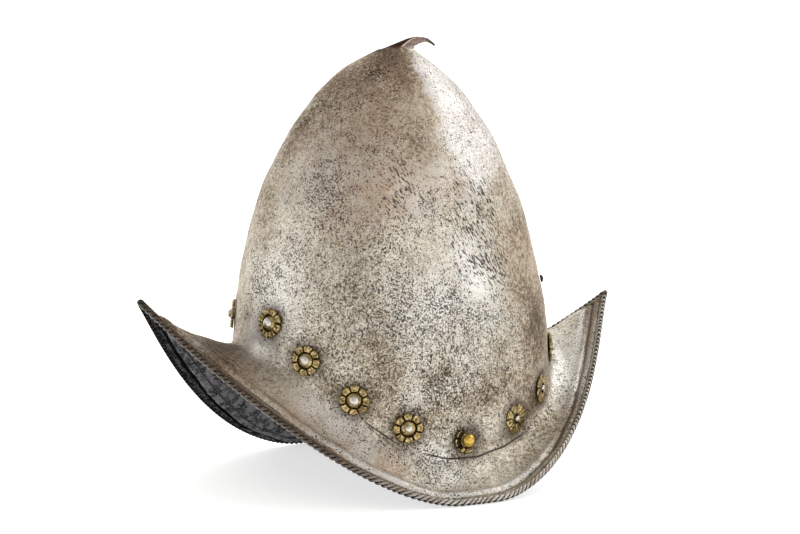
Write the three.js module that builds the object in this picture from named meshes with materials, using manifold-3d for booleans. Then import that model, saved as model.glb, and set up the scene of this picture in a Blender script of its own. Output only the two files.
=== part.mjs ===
// Morion helmet of the Spanish pattern: a one-piece forged skull with a curled stalk on its apex, a brim
// that is low at the sides and runs up into two pointed peaks, and a row of brass lining rosettes on rivets.
// Millimetres, +Z up. The front peak points along -Y and the wearer's left is +X. The helmet stands on the
// lowest stretches of its two brim sides, and the origin is on that plane, midway between the two peaks.

import * as THREE from 'three';
import { mergeVertices } from 'three/addons/utils/BufferGeometryUtils.js';
import Module from 'manifold-3d';

const wasm = await Module();
wasm.setup();

// Skull
const skullHalfLength = 107;
const skullHalfWidth = 90.5;
const skullDepth = 253.6;
const wall = 1.4;
const keelRise = 1.8;
const keelHalfWidth = 30;

// Line where the skull turns out into the brim, above the line's own lowest point at the sides
const junctionFrontRise = 67;
const junctionRearRise = 58;

// Brim, measured out from that line
const brimSideReach = 34.8;
const brimSideDrop = 24.5;
const frontPeakReach = 69;
const frontPeakRise = 31.5;
const rearPeakReach = 60.5;
const rearPeakRise = 28.5;
const brimDish = 5.5;
const standHalfLength = 14;

// Turned and roped edge, with the line chased in the brim inside it
const ropeDiameter = 4.4;
const chasedLineFromEdge = 9.5;
const chasedLineWidth = 3;
const chasedLineDepth = 1;

// Roped edge's section as shares of its radius: where its top shoulder lies inside the edge, how high that
// shoulder is, and how far its inner foot hangs under the plate
const ropeShoulderInside = 1.1;
const ropeShoulderRise = 0.75;
const ropeFootDrop = 0.2;

// Stalk on the apex: how far its tip lies behind the skull's middle, its rise, and half its root's length
const apexShift = 4.3;
const stalkReach = 34.3;
const stalkRise = 7.5;
const stalkRootHalf = 11.5;
const stalkTipPoint = 0.5;

// Rosettes and their rivets
const rosetteCount = 17;
const rosetteRadius = 9.4;
const rosetteSheet = 0.7;
const petalCount = 8;
const petalNotch = 1.5;
const petalRise = 1.5;
const collarRadius = 4.9;
const collarHeight = 2.6;
const collarShoulder = 0.8;
const rosetteAboveSide = 10.5;
const rosetteAboveFront = 21.5;
const rosetteAboveRear = 13.5;
const rivetShankRadius = 1.4;
const rivetHeadRadius = 3;
const rivetHeadHeight = 1.9;
const ballHeadRadius = 4.4;
const ballHeadHeight = 3.9;
const rivetTailRadius = 3.2;
const rivetTailHeight = 0.9;
const rivetTailRim = 0.3;
const fitGap = 0.3;

// Small rivet on the skull, left of the rear midline, and the room its tail needs where the plate is faceted
const rearRivetTurn = 0.86;
const rearRivetHeight = 126.5;
const rearRivetHeadRadius = 2.5;
const rearRivetHeadHeight = 1.6;
const facetRoom = 0.3;

// Mesh fineness
const around = 60;
const skullRows = 10;
const skullRowSpread = 1.5;
const brimRowShares = [0.3, 0.65];
const rosetteSides = 16;
const rivetSides = 8;
const holeSides = 8;
const edgeSamples = 360;
const bisectionSteps = 24;
const drillLengthInWalls = 6;
const smallStep = 1e-3;

// Sections of the skull from the side junction up to the foot of the stalk: height as a share of the skull's
// depth, length and width as shares of its half length and half width, shift as a share of the apex's shift.
const skullSections = [
  { height: 0.0, length: 0.979, width: 0.979, shift: 0.0 },
  { height: 0.122, length: 1.0, width: 1.002, shift: 0.1 },
  { height: 0.25, length: 0.998, width: 1.0, shift: 0.23 },
  { height: 0.374, length: 0.966, width: 0.957, shift: 0.14 },
  { height: 0.5, length: 0.9065, width: 0.888, shift: 0.0 },
  { height: 0.626, length: 0.82, width: 0.798, shift: 0.05 },
  { height: 0.75, length: 0.687, width: 0.663, shift: 0.1 },
  { height: 0.875, length: 0.49, width: 0.469, shift: 0.25 },
  { height: 0.953, length: 0.298, width: 0.28, shift: 0.5 },
  { height: 1.0, length: 0.115, width: 0.112, shift: 1.35 },
];

// Sections of the stalk from its tip down to its root: along as a share of its reach, height as a share of its
// rise above the last skull section, length and width as shares of half its root, tilt of the section in degrees.
const stalkSections = [
  { along: 1.0, height: 0.4, length: 0.061, width: 0.052, tilt: 130 },
  { along: 0.92, height: 0.66, length: 0.085, width: 0.075, tilt: 118 },
  { along: 0.828, height: 0.84, length: 0.113, width: 0.1, tilt: 98 },
  { along: 0.7, height: 0.87, length: 0.21, width: 0.16, tilt: 62 },
  { along: 0.55, height: 0.74, length: 0.335, width: 0.23, tilt: 33 },
  { along: 0.45, height: 0.55, length: 0.51, width: 0.37, tilt: 14 },
  { along: 0.24, height: 0.23, length: 0.95, width: 0.8, tilt: -5 },
];

// Where each rosette of one side sits, down to the one on the rear midline; the front midline has none. Turn as a
// share of the way from the front round to the rear, raise above the even line as a share of the rosette's radius.
const rosetteSettings = [
  { turn: 0.109, raise: 0.3 },
  { turn: 0.203, raise: -0.18 },
  { turn: 0.302, raise: -0.28 },
  { turn: 0.404, raise: 0.02 },
  { turn: 0.524, raise: -0.08 },
  { turn: 0.647, raise: 0.28 },
  { turn: 0.754, raise: 0.08 },
  { turn: 0.872, raise: -0.18 },
  { turn: 1.0, raise: 0.0 },
];

// Line along which the fifth rosette broke, from below to above: across as a share of the collar's radius from
// the rivet towards the lost side, up as a share of the rosette's radius.
const breakLine = [
  { across: 0.9, up: -1.3 },
  { across: 0.75, up: -0.47 },
  { across: 0.43, up: 0.0 },
  { across: 0.5, up: 0.57 },
  { across: -0.1, up: 1.3 },
];

// Domed head of a rivet: radius and height as shares of the head's own.
const headProfile = [
  { radius: 1.0, height: 0.0 },
  { radius: 0.75, height: 0.7 },
  { radius: 0.0, height: 1.0 },
];

// Exponents of the brim's plan and of the lines that rise towards the peaks
const planSquareness = 2.165;
const peakSharpness = 1.16;
const frontJunctionShape = 1.75;
const rearJunctionShape = 3.0;
const frontEdgeShape = 1.74;
const rearEdgeShape = 1.6;

// Value of one column of the section table at a share of the height, by cubic pieces.
function sectionValue(column, share) {
  const rows = skullSections;
  let i = 0;
  while (i < rows.length - 2 && share > rows[i + 1].height) {
    i += 1;
  }
  const slopeAt = (k) => {
    const low = rows[Math.max(k - 1, 0)];
    const high = rows[Math.min(k + 1, rows.length - 1)];
    return (high[column] - low[column]) / (high.height - low.height);
  };
  const span = rows[i + 1].height - rows[i].height;
  const t = THREE.MathUtils.clamp((share - rows[i].height) / span, 0, 1);
  const t2 = t * t;
  const t3 = t2 * t;
  const start = (2 * t3 - 3 * t2 + 1) * rows[i][column] + (t3 - 2 * t2 + t) * span * slopeAt(i);
  const end = (3 * t2 - 2 * t3) * rows[i + 1][column] + (t3 - t2) * span * slopeAt(i + 1);
  return start + end;
}

// Share from 0 at the side to 1 at the front or rear, by which a line rises towards that end.
function riseShare(turn) {
  const c = Math.cos(turn);
  const shape = c > 0 ? frontJunctionShape : rearJunctionShape;
  return Math.pow(Math.abs(c), shape);
}

// Height of the junction line at a turn angle, 0 at the front and half a circle at the rear.
function junctionHeight(turn) {
  const rise = Math.cos(turn) > 0 ? junctionFrontRise : junctionRearRise;
  return brimSideDrop + rise * riseShare(turn);
}

// Height of the even line on which the rosettes are set.
function rosetteLineHeight(turn) {
  const aboveEnd = Math.cos(turn) > 0 ? rosetteAboveFront : rosetteAboveRear;
  return junctionHeight(turn) + THREE.MathUtils.lerp(rosetteAboveSide, aboveEnd, riseShare(turn));
}

// Point on the outside of the skull at a turn angle and a height.
function skullPoint(turn, z) {
  const share = (z - brimSideDrop) / skullDepth;
  const halfLength = skullHalfLength * sectionValue('length', share);
  const halfWidth = skullHalfWidth * sectionValue('width', share);
  const shift = apexShift * sectionValue('shift', share);
  const s = Math.sin(turn);
  const c = Math.cos(turn);
  const x = halfWidth * s;
  const fromKeel = Math.min(Math.abs(x) / keelHalfWidth, 1);
  const keel = keelRise * (1 - fromKeel) * (1 - fromKeel) * Math.min(halfLength / skullHalfLength, 1);
  return new THREE.Vector3(x, -(halfLength + keel) * c + shift, z);
}

// Outward normal of the skull at a turn angle and a height.
function skullNormal(turn, z) {
  const alongTurn = skullPoint(turn + smallStep, z).sub(skullPoint(turn - smallStep, z));
  const alongHeight = skullPoint(turn, z + smallStep).sub(skullPoint(turn, z - smallStep));
  return alongTurn.cross(alongHeight).normalize();
}

function junctionPoint(turn) {
  return skullPoint(turn, junctionHeight(turn));
}

const frontReach = -junctionPoint(0).y + frontPeakReach;
const rearReach = junctionPoint(Math.PI).y + rearPeakReach;
const sideReach = junctionPoint(Math.PI / 2).x + brimSideReach;
const frontTipHeight = junctionHeight(0) + frontPeakRise;
const rearTipHeight = junctionHeight(Math.PI) + rearPeakRise;

// Outermost line of the brim at a turn angle.
function edgePoint(turn) {
  const c = Math.cos(turn);
  const reach = c > 0 ? frontReach : rearReach;
  const tipHeight = c > 0 ? frontTipHeight : rearTipHeight;
  const along = Math.abs(c);
  const across = Math.pow(Math.max(1 - Math.pow(along, planSquareness), 0), peakSharpness);
  const past = Math.max((along * reach - standHalfLength) / (reach - standHalfLength), 0);
  const z = tipHeight * Math.pow(past, c > 0 ? frontEdgeShape : rearEdgeShape);
  return new THREE.Vector3(Math.sign(Math.sin(turn)) * sideReach * across, -reach * c, z + ropeDiameter / 2);
}

const edgeLine = [];
for (let i = 0; i < edgeSamples; i += 1) {
  edgeLine.push(edgePoint((i / edgeSamples) * 2 * Math.PI));
}

// Distance in plan from a point to the outermost line.
function distanceToEdge(point) {
  let nearest = Infinity;
  for (let i = 0; i < edgeSamples; i += 1) {
    const a = edgeLine[i];
    const b = edgeLine[(i + 1) % edgeSamples];
    const dx = b.x - a.x;
    const dy = b.y - a.y;
    const length2 = dx * dx + dy * dy;
    const t = THREE.MathUtils.clamp(((point.x - a.x) * dx + (point.y - a.y) * dy) / length2, 0, 1);
    nearest = Math.min(nearest, Math.hypot(point.x - a.x - t * dx, point.y - a.y - t * dy));
  }
  return nearest;
}

// Point on top of the brim at a share of the way from the junction line out to the edge.
function brimPoint(turn, share) {
  const from = junctionPoint(turn);
  const to = edgePoint(turn);
  const point = from.clone().lerp(to, share);
  point.z -= 4 * brimDish * share * (1 - share);
  return point;
}

// Share of the way out at which the brim is a given distance inside its edge.
function shareInside(turn, inside) {
  let low = 0;
  let high = 1;
  for (let step = 0; step < bisectionSteps; step += 1) {
    const middle = (low + high) / 2;
    if (distanceToEdge(brimPoint(turn, middle)) > inside) {
      low = middle;
    } else {
      high = middle;
    }
  }
  return low;
}

// One closed row of points round the helmet.
function row(pointAt) {
  const points = [];
  for (let i = 0; i < around; i += 1) {
    points.push(pointAt((i / around) * 2 * Math.PI));
  }
  return points;
}

function rowInside(inside, raise) {
  return row((turn) => {
    const point = brimPoint(turn, shareInside(turn, inside));
    point.z += raise;
    return point;
  });
}

// Rows of the stalk from its tip down to its root; each section leans in the midline plane.
function stalkRowsDown() {
  return stalkSections.map(({ along, height, length, width, tilt }) => row((turn) => {
    const lean = THREE.MathUtils.degToRad(tilt);
    const forward = stalkRootHalf * length * Math.cos(turn);
    return new THREE.Vector3(
      stalkRootHalf * width * Math.sin(turn),
      stalkReach * along - forward * Math.cos(lean),
      brimSideDrop + skullDepth + stalkRise * height + forward * Math.sin(lean),
    );
  }));
}

// Rows of the skull from the foot of the stalk down to the rosettes, closer together near the top, and then the
// junction line.
function skullRowsDown() {
  const top = brimSideDrop + skullDepth;
  const rows = [];
  for (let k = 0; k <= skullRows; k += 1) {
    const down = Math.pow(k / skullRows, skullRowSpread);
    rows.push(row((turn) => skullPoint(turn, top - (top - rosetteLineHeight(turn)) * down)));
  }
  rows.push(row(junctionPoint));
  return rows;
}

// Rows on top of the brim from the junction line out to the inside of the roped edge.
function brimRowsOut() {
  const foot = chasedLineFromEdge + chasedLineWidth / 2;
  const rows = brimRowShares.map((share) => row((turn) => brimPoint(turn, share * shareInside(turn, foot))));
  rows.push(rowInside(foot, 0));
  rows.push(rowInside(chasedLineFromEdge, -chasedLineDepth));
  rows.push(rowInside(chasedLineFromEdge - chasedLineWidth / 2, 0));
  rows.push(rowInside(ropeDiameter, 0));
  return rows;
}

// Rows moved inwards along the surface's own normals by the thickness of the plate.
function innerRows(rows, thickness) {
  return rows.map((points, r) => points.map((point, i) => {
    const above = rows[Math.max(r - 1, 0)][i];
    const below = rows[Math.min(r + 1, rows.length - 1)][i];
    const left = points[(i + around - 1) % around];
    const right = points[(i + 1) % around];
    const across = right.clone().sub(left);
    const down = below.clone().sub(above);
    const normal = down.cross(across).normalize();
    return point.clone().addScaledVector(normal, -thickness);
  }));
}

// Closed skin through a list of rows, shut by a point at each end.
function skinThroughRows(rows, firstPoint, lastPoint) {
  const positions = [];
  const indices = [];
  for (const points of rows) {
    for (const point of points) {
      positions.push(point.x, point.y, point.z);
    }
  }
  const first = positions.length / 3;
  positions.push(firstPoint.x, firstPoint.y, firstPoint.z);
  positions.push(lastPoint.x, lastPoint.y, lastPoint.z);
  const lastStart = (rows.length - 1) * around;
  for (let i = 0; i < around; i += 1) {
    const next = (i + 1) % around;
    indices.push(first, i, next);
    indices.push(first + 1, lastStart + next, lastStart + i);
    for (let r = 0; r < rows.length - 1; r += 1) {
      const a = r * around + i;
      const b = r * around + next;
      indices.push(a, a + around, b);
      indices.push(b, a + around, b + around);
    }
  }
  return closedGeometry(positions, indices);
}

function closedGeometry(positions, indices) {
  const geometry = new THREE.BufferGeometry();
  geometry.setAttribute('position', new THREE.Float32BufferAttribute(positions, 3));
  geometry.setIndex(indices);
  return geometry;
}

function toSolid(geometry) {
  const bare = geometry.clone();
  bare.deleteAttribute('normal');
  bare.deleteAttribute('uv');
  const merged = mergeVertices(bare, 1e-5);
  const mesh = new wasm.Mesh({
    numProp: 3,
    vertProperties: new Float32Array(merged.attributes.position.array),
    triVerts: new Uint32Array(merged.index.array),
  });
  mesh.merge();
  return new wasm.Manifold(mesh);
}

function toGeometry(solid) {
  const mesh = solid.getMesh();
  return closedGeometry(Array.from(mesh.vertProperties), Array.from(mesh.triVerts));
}

// Skull, stalk and brim with the roped edge, still without the rivet holes. The skin runs from the stalk's tip
// down the outside, round the edge and back up the inside of the plate.
function plateGeometry() {
  const plate = [...skullRowsDown(), ...brimRowsOut()];
  const half = ropeDiameter / 2;
  const rope = [
    rowInside(half * ropeShoulderInside, half * ropeShoulderRise),
    row(edgePoint),
    rowInside(half * ropeShoulderInside, -half),
    rowInside(ropeDiameter, -wall - half * ropeFootDrop),
  ];
  const inside = innerRows(plate, wall).slice(0, -1).reverse();
  const tip = stalkSections[0];
  const top = brimSideDrop + skullDepth;
  const past = stalkReach * tip.length * stalkTipPoint;
  const tipPoint = new THREE.Vector3(0, stalkReach * tip.along + past, top + stalkRise * tip.height);
  const hollowTop = new THREE.Vector3(0, apexShift, top - wall / 2);
  return skinThroughRows([...stalkRowsDown(), ...plate, ...rope, ...inside], tipPoint, hollowTop);
}

// A point on the outside of the skull, the frame that stands on it, and the fall of the plate under a tail there.
function placeOnSkull(turn, z) {
  const out = skullNormal(turn, z);
  const across = new THREE.Vector3(0, 0, 1).cross(out).normalize();
  const up = out.clone().cross(across);
  const turned = new THREE.Matrix4().makeBasis(across, up, out);
  const quaternion = new THREE.Quaternion().setFromRotationMatrix(turned);
  return { point: skullPoint(turn, z), quaternion, fall: fallUnderTail(turn, z) };
}

// Places of the rosettes, from the wearer's left of the front midline round by the rear.
function rosettePlaces() {
  const places = [];
  const half = (rosetteCount - 1) / 2;
  for (let k = 0; k < rosetteCount; k += 1) {
    const onLeft = k <= half;
    const step = onLeft ? k : rosetteCount - 1 - k;
    const tableStep = (step / half) * (rosetteSettings.length - 1);
    const low = Math.min(Math.floor(tableStep), rosetteSettings.length - 2);
    const before = rosetteSettings[low];
    const after = rosetteSettings[low + 1];
    const share = THREE.MathUtils.lerp(before.turn, after.turn, tableStep - low);
    const raise = THREE.MathUtils.lerp(before.raise, after.raise, tableStep - low);
    const turn = (onLeft ? share : -share) * Math.PI;
    places.push(placeOnSkull(turn, rosetteLineHeight(turn) + raise * rosetteRadius));
  }
  return places;
}

// Ring of rows round a centre hole, each row a radius and a height for every angle.
function ringSolid(rows, sides) {
  const positions = [];
  const indices = [];
  for (const { radius, height } of rows) {
    for (let i = 0; i < sides; i += 1) {
      const angle = (i / sides) * 2 * Math.PI;
      const r = radius(angle);
      positions.push(r * Math.cos(angle), r * Math.sin(angle), height(angle));
    }
  }
  for (let k = 0; k < rows.length; k += 1) {
    const following = (k + 1) % rows.length;
    for (let i = 0; i < sides; i += 1) {
      const next = (i + 1) % sides;
      const a = k * sides + i;
      const b = k * sides + next;
      const c = following * sides + i;
      const d = following * sides + next;
      indices.push(a, b, c);
      indices.push(b, d, c);
    }
  }
  return closedGeometry(positions, indices);
}

const holeRadius = rivetShankRadius + fitGap;

// Rosette: a thin disc with a petalled rim, embossed petals and a raised collar round its rivet.
function rosetteGeometry() {
  const petal = (angle) => Math.abs(Math.cos((angle * petalCount) / 2));
  const rim = (angle) => rosetteRadius - petalNotch * (1 - petal(angle));
  const base = fitGap;
  const middle = (rosetteRadius + collarRadius) / 2;
  const rows = [
    { radius: () => holeRadius, height: () => base },
    { radius: () => holeRadius, height: () => base + collarHeight },
    { radius: () => collarRadius, height: () => base + collarHeight * collarShoulder },
    { radius: () => middle, height: (angle) => base + rosetteSheet + petalRise * petal(angle) },
    { radius: rim, height: () => base + rosetteSheet },
    { radius: rim, height: () => base },
  ];
  return ringSolid(rows.reverse(), rosetteSides);
}

// Rosette that has lost its rear half, broken off along a ragged line beside the rivet.
function brokenRosetteGeometry() {
  const line = breakLine.map(({ across, up }) => new THREE.Vector2(across * collarRadius, up * rosetteRadius));
  const outer = 2 * rosetteRadius;
  const below = new THREE.Vector2(outer, line[0].y);
  const above = new THREE.Vector2(outer, line[line.length - 1].y);
  const lost = new THREE.Shape([below, above, ...line.reverse()]);
  const depth = collarHeight + petalRise + rosetteSheet;
  const cutter = new THREE.ExtrudeGeometry(lost, { depth: depth * 2, bevelEnabled: false });
  cutter.translate(0, 0, -depth / 2);
  return toGeometry(toSolid(rosetteGeometry()).subtract(toSolid(cutter)));
}

// Depth by which the plate falls away from its tangent plane under a rivet's tail.
function fallUnderTail(turn, z) {
  const point = skullPoint(turn, z);
  const out = skullNormal(turn, z);
  const step = (2 * Math.PI) / around;
  const neighbours = [skullPoint(turn - step, z), skullPoint(turn + step, z)];
  const slopes = neighbours.map((near) => Math.abs(near.clone().sub(point).dot(out)) / near.distanceTo(point));
  return Math.max(...slopes) * rivetTailRadius;
}

// Rivet: domed head on its seat, shank through the plate, and a hammered tail inside.
function rivetGeometry(fall, seat, headRadius, headHeight) {
  const inside = -wall - fall - fitGap;
  const profile = [
    new THREE.Vector2(0, inside - rivetTailHeight),
    new THREE.Vector2(rivetTailRadius, inside - rivetTailHeight * rivetTailRim),
    new THREE.Vector2(rivetTailRadius, inside),
    new THREE.Vector2(rivetShankRadius, inside),
    new THREE.Vector2(rivetShankRadius, seat),
    ...headProfile.map(({ radius, height }) => new THREE.Vector2(radius * headRadius, seat + height * headHeight)),
  ];
  const lathe = new THREE.LatheGeometry(profile, rivetSides);
  lathe.rotateX(Math.PI / 2);
  return toGeometry(toSolid(lathe));
}

const steel = new THREE.MeshStandardMaterial({ color: 0x8d8780, roughness: 0.42, metalness: 1 });
const brass = new THREE.MeshStandardMaterial({ color: 0x9a7b45, roughness: 0.4, metalness: 1 });
const rivetSteel = new THREE.MeshStandardMaterial({ color: 0xa8a6a2, roughness: 0.3, metalness: 1 });

const helmet = new THREE.Group();
helmet.position.y = (frontReach - rearReach) / 2;
const places = rosettePlaces();
const rearPlace = placeOnSkull(rearRivetTurn * Math.PI, rearRivetHeight);

function addSeated({ point, quaternion }, ...pieces) {
  const seat = new THREE.Group();
  seat.position.copy(point);
  seat.quaternion.copy(quaternion);
  seat.add(...pieces);
  helmet.add(seat);
}

// Skull, stalk and brim in one piece, with the rivet holes pierced
let shell = toSolid(plateGeometry());
for (const { point, quaternion } of [...places, rearPlace]) {
  const drill = new THREE.CylinderGeometry(holeRadius, holeRadius, wall * drillLengthInWalls, holeSides);
  drill.rotateX(Math.PI / 2);
  drill.applyQuaternion(quaternion);
  drill.translate(point.x, point.y, point.z);
  shell = shell.subtract(toSolid(drill));
}
const skullAndBrim = new THREE.Mesh(toGeometry(shell), steel);
skullAndBrim.name = 'skull_and_brim';
helmet.add(skullAndBrim);

// Rosettes and rivets, numbered from the front round by the wearer's left; the fifth rosette is broken and its
// rivet has a bigger brass head
const brokenNumber = 5;
const rosetteSeat = fitGap + collarHeight + fitGap;
places.forEach((place, index) => {
  const number = index + 1;
  const broken = number === brokenNumber;
  const rosette = new THREE.Mesh(broken ? brokenRosetteGeometry() : rosetteGeometry(), brass);
  rosette.name = `rosette_${number}`;
  const headRadius = broken ? ballHeadRadius : rivetHeadRadius;
  const headHeight = broken ? ballHeadHeight : rivetHeadHeight;
  const shape = rivetGeometry(place.fall, rosetteSeat, headRadius, headHeight);
  const rivet = new THREE.Mesh(shape, broken ? brass : rivetSteel);
  rivet.name = `rivet_${number}`;
  addSeated(place, rosette, rivet);
});

const rearShape = rivetGeometry(rearPlace.fall + facetRoom, fitGap, rearRivetHeadRadius, rearRivetHeadHeight);
const rearRivet = new THREE.Mesh(rearShape, rivetSteel);
rearRivet.name = 'rear_rivet';
addSeated(rearPlace, rearRivet);

export default helmet;
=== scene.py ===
import math

import bpy
import numpy as np
from mathutils import Matrix, Vector


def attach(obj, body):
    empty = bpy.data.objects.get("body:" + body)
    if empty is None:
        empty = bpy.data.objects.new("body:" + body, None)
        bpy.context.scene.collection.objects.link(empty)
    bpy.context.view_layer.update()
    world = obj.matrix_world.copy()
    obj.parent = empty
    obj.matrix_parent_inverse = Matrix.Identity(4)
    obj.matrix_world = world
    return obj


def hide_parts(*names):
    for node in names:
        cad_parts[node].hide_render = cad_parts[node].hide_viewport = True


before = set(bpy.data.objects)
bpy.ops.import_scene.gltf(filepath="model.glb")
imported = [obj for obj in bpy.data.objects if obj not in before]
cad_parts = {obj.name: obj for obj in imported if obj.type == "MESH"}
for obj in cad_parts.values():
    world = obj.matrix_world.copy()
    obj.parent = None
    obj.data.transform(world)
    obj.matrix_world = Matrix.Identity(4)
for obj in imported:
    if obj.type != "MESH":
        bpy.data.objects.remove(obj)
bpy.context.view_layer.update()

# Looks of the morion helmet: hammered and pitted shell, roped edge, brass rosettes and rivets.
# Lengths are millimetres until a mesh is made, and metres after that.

MM = 0.001
TAU = 2 * math.pi

# Skull
skull_half_length = 107
skull_half_width = 90.5
skull_depth = 253.6
wall = 1.4
keel_rise = 1.8
keel_half_width = 30

# Line where the skull turns out into the brim
junction_front_rise = 67
junction_rear_rise = 58
side_fillet = 4.0
end_fillet = 9.0

# Brim
brim_side_reach = 34.8
brim_side_drop = 24.5
front_peak_reach = 69
front_peak_rise = 31.5
rear_peak_reach = 60.5
rear_peak_rise = 28.5
brim_dish = 5.5
stand_half_length = 14
rope_diameter = 4.4

# Stalk
apex_shift = 4.3
stalk_reach = 34.3
stalk_rise = 7.5
stalk_root_half = 11.5
stalk_tip_point = 0.5

# Rosettes and rivets
rosette_count = 17
rosette_radius = 9.4
rosette_above_side = 10.5
rosette_above_front = 21.5
rosette_above_rear = 13.5
rivet_head_radius = 3
rivet_head_height = 1.9
ball_head_radius = 4.4
ball_head_height = 3.9
fit_gap = 0.3
collar_height = 2.6
petal_count = 8
broken_number = 5
broken_range = (118, 292)
crushed_before = 232
flat_numbers = (6, 7)
flat_head_radius = 2.0
flat_head_height = 1.6
flat_head_shift = 1.5
small_head_numbers = (4, 17)
small_head_radius = 2.6
rear_rivet_turn = 0.86
rear_rivet_height = 126.5
rear_rivet_head_radius = 2.5
rear_rivet_head_height = 1.6

# Exponents of the brim's plan and of its rising lines
plan_squareness = 2.165
peak_sharpness = 1.16
front_junction_shape = 1.75
rear_junction_shape = 3.0
front_edge_shape = 1.74
rear_edge_shape = 1.6

# Sections of the skull: height, length, width and shift as shares
skull_sections = {
    "height": (0.0, 0.122, 0.25, 0.374, 0.5, 0.626, 0.75, 0.875, 0.953, 1.0),
    "length": (0.979, 1.0, 0.998, 0.966, 0.9065, 0.82, 0.687, 0.49, 0.298, 0.115),
    "width": (0.979, 1.002, 1.0, 0.957, 0.888, 0.798, 0.663, 0.469, 0.28, 0.112),
    "shift": (0, 0.1, 0.23, 0.14, 0, 0.05, 0.1, 0.25, 0.5, 1.35),
}

# Sections of the stalk from tip to root: along, height, length, width as shares, tilt in degrees
stalk_sections = (
    (1.0, 0.4, 0.061, 0.052, 130),
    (0.92, 0.66, 0.085, 0.075, 118),
    (0.828, 0.84, 0.113, 0.1, 98),
    (0.7, 0.87, 0.21, 0.16, 62),
    (0.55, 0.74, 0.335, 0.23, 33),
    (0.45, 0.55, 0.51, 0.37, 14),
    (0.24, 0.23, 0.95, 0.8, -5),
)

# Turn share and raise share of the rosettes of one side down to the one on the rear midline
rosette_settings = (
    (0.109, 0.3), (0.203, -0.18), (0.302, -0.28), (0.404, 0.02), (0.524, -0.08),
    (0.647, 0.28), (0.754, 0.08), (0.872, -0.18), (1.0, 0.0),
)

# Fineness of the shell's mesh
columns = 360
stalk_rows = 34
skull_rows = 76
fillet_rows = 20
brim_rows = 18
skull_rows_a_row_inside = 4
brim_rows_a_row_inside = 2

# Distances inside the edge: for the skull, at the start of the chased lines, and of the rows from there on
far_inside = 200.0
detail_distance = 14.0
detail_rows = (
    13.3, 12.7, 12.2, 11.7, 11.2, 10.8, 10.4, 10.0, 9.6, 9.3, 9.0, 8.6, 8.2, 7.8, 7.3, 6.8, 6.3, 5.8,
    5.4, 5.1, 4.8, 4.6, 4.4, 4.1, 3.5,
)

# Hammer marks: height, length and seed
hammer_marks = ((0.3, 38, 3), (0.12, 15, 5), (0.05, 7, 7))

# Chased lines of the brim's two faces: distance inside the edge, height and half width
lines_above = ((12.9, 0.75, 1.9), (9.4, -1.05, 1.1), (6.6, 0.35, 1.3), (4.5, -0.6, 0.45))
lines_below = ((7.6, 0.9, 1.2), (9.9, -0.5, 0.7), (17, -0.4, 1.2), (24, 0.3, 1.6))

# Grime and painted shade round the rosettes: from how far under their edge it starts, and how far it reaches
halo_overlap = 1.5
halo_reach = 9

# Rope
rope_line_points = 1440
rope_pitch = 3.9
rope_points_a_notch = 13
rope_sides = 15
rope_slant = 0.62
rope_cut_depth = 1.15


def ramp(value, start, width):
    """0 up to a start and 1 from a width past it; a negative width runs the other way."""
    return np.clip((value - start) / width, 0, 1)


def eased(share):
    return share * share * (3 - 2 * share)


def gauss(x, middle, width):
    return np.exp(-(((x - middle) / width) ** 2))


def signed(angle):
    """Angles of a full turn as angles to either side of its start."""
    return np.where(angle > math.pi, angle - TAU, angle)


def section_value(column, share):
    """Value of a column of the skull's sections at a share of its height, by cubic pieces."""
    x = np.array(skull_sections["height"], float)
    y = np.array(skull_sections[column], float)
    last = len(x) - 1
    slope = np.array([
        (y[min(k + 1, last)] - y[max(k - 1, 0)]) / (x[min(k + 1, last)] - x[max(k - 1, 0)])
        for k in range(last + 1)
    ])
    share = np.asarray(share, float)
    i = np.clip(np.searchsorted(x, share) - 1, 0, last - 1)
    span = x[i + 1] - x[i]
    t = np.clip((share - x[i]) / span, 0, 1)
    start = (2 * t**3 - 3 * t**2 + 1) * y[i] + (t**3 - 2 * t**2 + t) * span * slope[i]
    end = (3 * t**2 - 2 * t**3) * y[i + 1] + (t**3 - t**2) * span * slope[i + 1]
    return start + end


def rise_share(turn):
    c = np.cos(turn)
    return np.abs(c) ** np.where(c > 0, front_junction_shape, rear_junction_shape)


def junction_height(turn):
    rise = np.where(np.cos(turn) > 0, junction_front_rise, junction_rear_rise)
    return brim_side_drop + rise * rise_share(turn)


def rosette_line_height(turn):
    above_end = np.where(np.cos(turn) > 0, rosette_above_front, rosette_above_rear)
    return junction_height(turn) + rosette_above_side + (above_end - rosette_above_side) * rise_share(turn)


def skull_point(turn, z):
    turn, z = np.broadcast_arrays(np.asarray(turn, float), np.asarray(z, float))
    share = (z - brim_side_drop) / skull_depth
    half_length = skull_half_length * section_value("length", share)
    half_width = skull_half_width * section_value("width", share)
    shift = apex_shift * section_value("shift", share)
    x = half_width * np.sin(turn)
    from_keel = np.minimum(np.abs(x) / keel_half_width, 1)
    keel = keel_rise * (1 - from_keel) ** 2 * np.minimum(half_length / skull_half_length, 1)
    return np.stack([x, -(half_length + keel) * np.cos(turn) + shift, z], -1)


def junction_point(turn):
    return skull_point(turn, junction_height(turn))


front_reach = -junction_point(0.0)[1] + front_peak_reach
rear_reach = junction_point(math.pi)[1] + rear_peak_reach
side_reach = junction_point(math.pi / 2)[0] + brim_side_reach
front_tip_height = junction_height(0.0) + front_peak_rise
rear_tip_height = junction_height(math.pi) + rear_peak_rise
forward_shift = (front_reach - rear_reach) / 2


def edge_point(turn):
    """Outermost line of the brim."""
    c = np.cos(turn)
    reach = np.where(c > 0, front_reach, rear_reach)
    tip_height = np.where(c > 0, front_tip_height, rear_tip_height)
    shape = np.where(c > 0, front_edge_shape, rear_edge_shape)
    along = np.abs(c)
    across = np.maximum(1 - along**plan_squareness, 0) ** peak_sharpness
    past = np.maximum((along * reach - stand_half_length) / (reach - stand_half_length), 0)
    z = tip_height * past**shape + rope_diameter / 2
    return np.stack([np.sign(np.sin(turn)) * side_reach * across, -reach * c, z], -1)


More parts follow.
